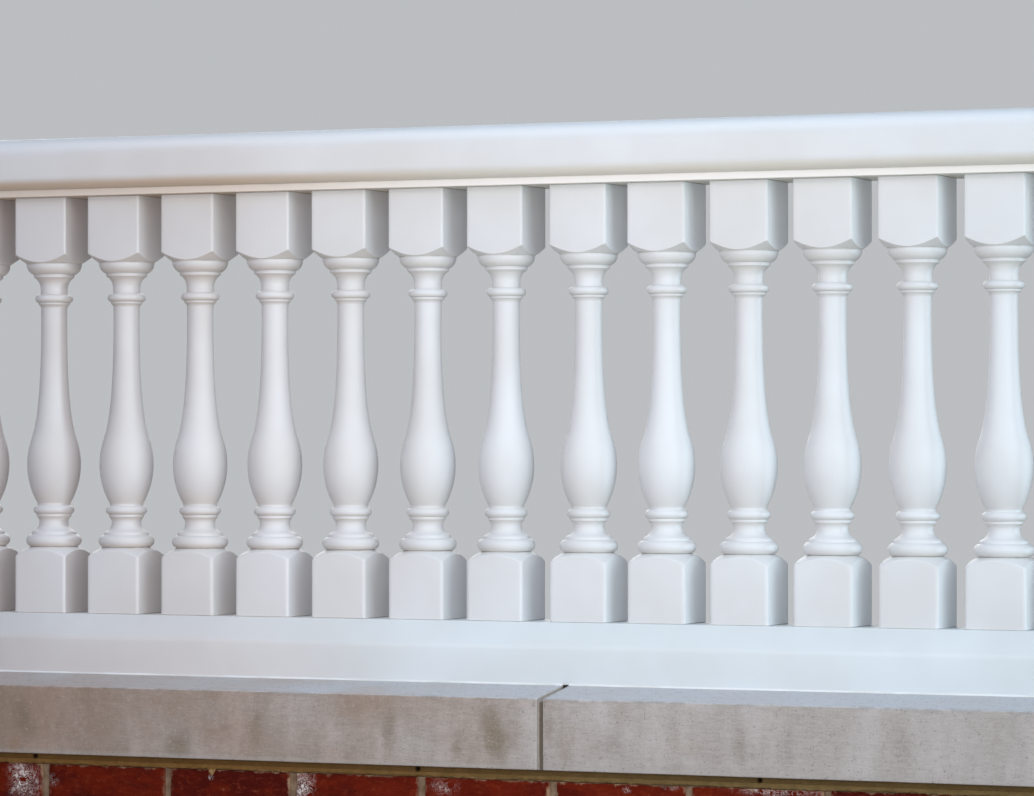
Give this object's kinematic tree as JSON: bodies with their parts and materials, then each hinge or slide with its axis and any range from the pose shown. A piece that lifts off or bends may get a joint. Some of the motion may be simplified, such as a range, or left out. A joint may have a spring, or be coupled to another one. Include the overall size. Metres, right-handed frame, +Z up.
{
  "type": "concrete balcony balustrade",
  "caption": "Straight balcony balustrade: white turned concrete balusters between moulded rails, on a weathered stone coping over a low brick wall.",
  "frame": {"origin": "middle of the brick wall's foot, under the middle baluster", "axes": "+X along the rails, -Y towards the weather side that the picture shows, +Z up"},
  "size_m": [2.413, 0.33, 1.2103],
  "materials": {
    "white_paint": "smooth cast concrete under satin white masonry paint",
    "limestone": "sawn limestone, weathered and stained",
    "joint_mortar": "rough mortar",
    "bed_mortar": "rough mortar, dirty",
    "brick": "dark red rubbed clay brick with lime bloom"
  },
  "bodies": {
    "root": {"baluster_01": "white_paint", "baluster_02": "white_paint", "baluster_03": "white_paint", "baluster_04": "white_paint", "baluster_05": "white_paint", "baluster_06": "white_paint", "baluster_07": "white_paint", "baluster_08": "white_paint", "baluster_09": "white_paint", "baluster_10": "white_paint", "baluster_11": "white_paint", "baluster_12": "white_paint", "baluster_13": "white_paint", "baluster_14": "white_paint", "baluster_15": "white_paint", "baluster_16": "white_paint", "baluster_17": "white_paint", "baluster_18": "white_paint", "baluster_19": "white_paint", "bottom_rail": "white_paint", "coping_joint": "joint_mortar", "coping_stone_left": "limestone", "coping_stone_right": "limestone", "inner_brick_leaf": "brick", "mortar_bed": "bed_mortar", "outer_brick_leaf": "brick", "top_rail": "white_paint", "wall_core": "bed_mortar"}
  },
  "joints": []
}
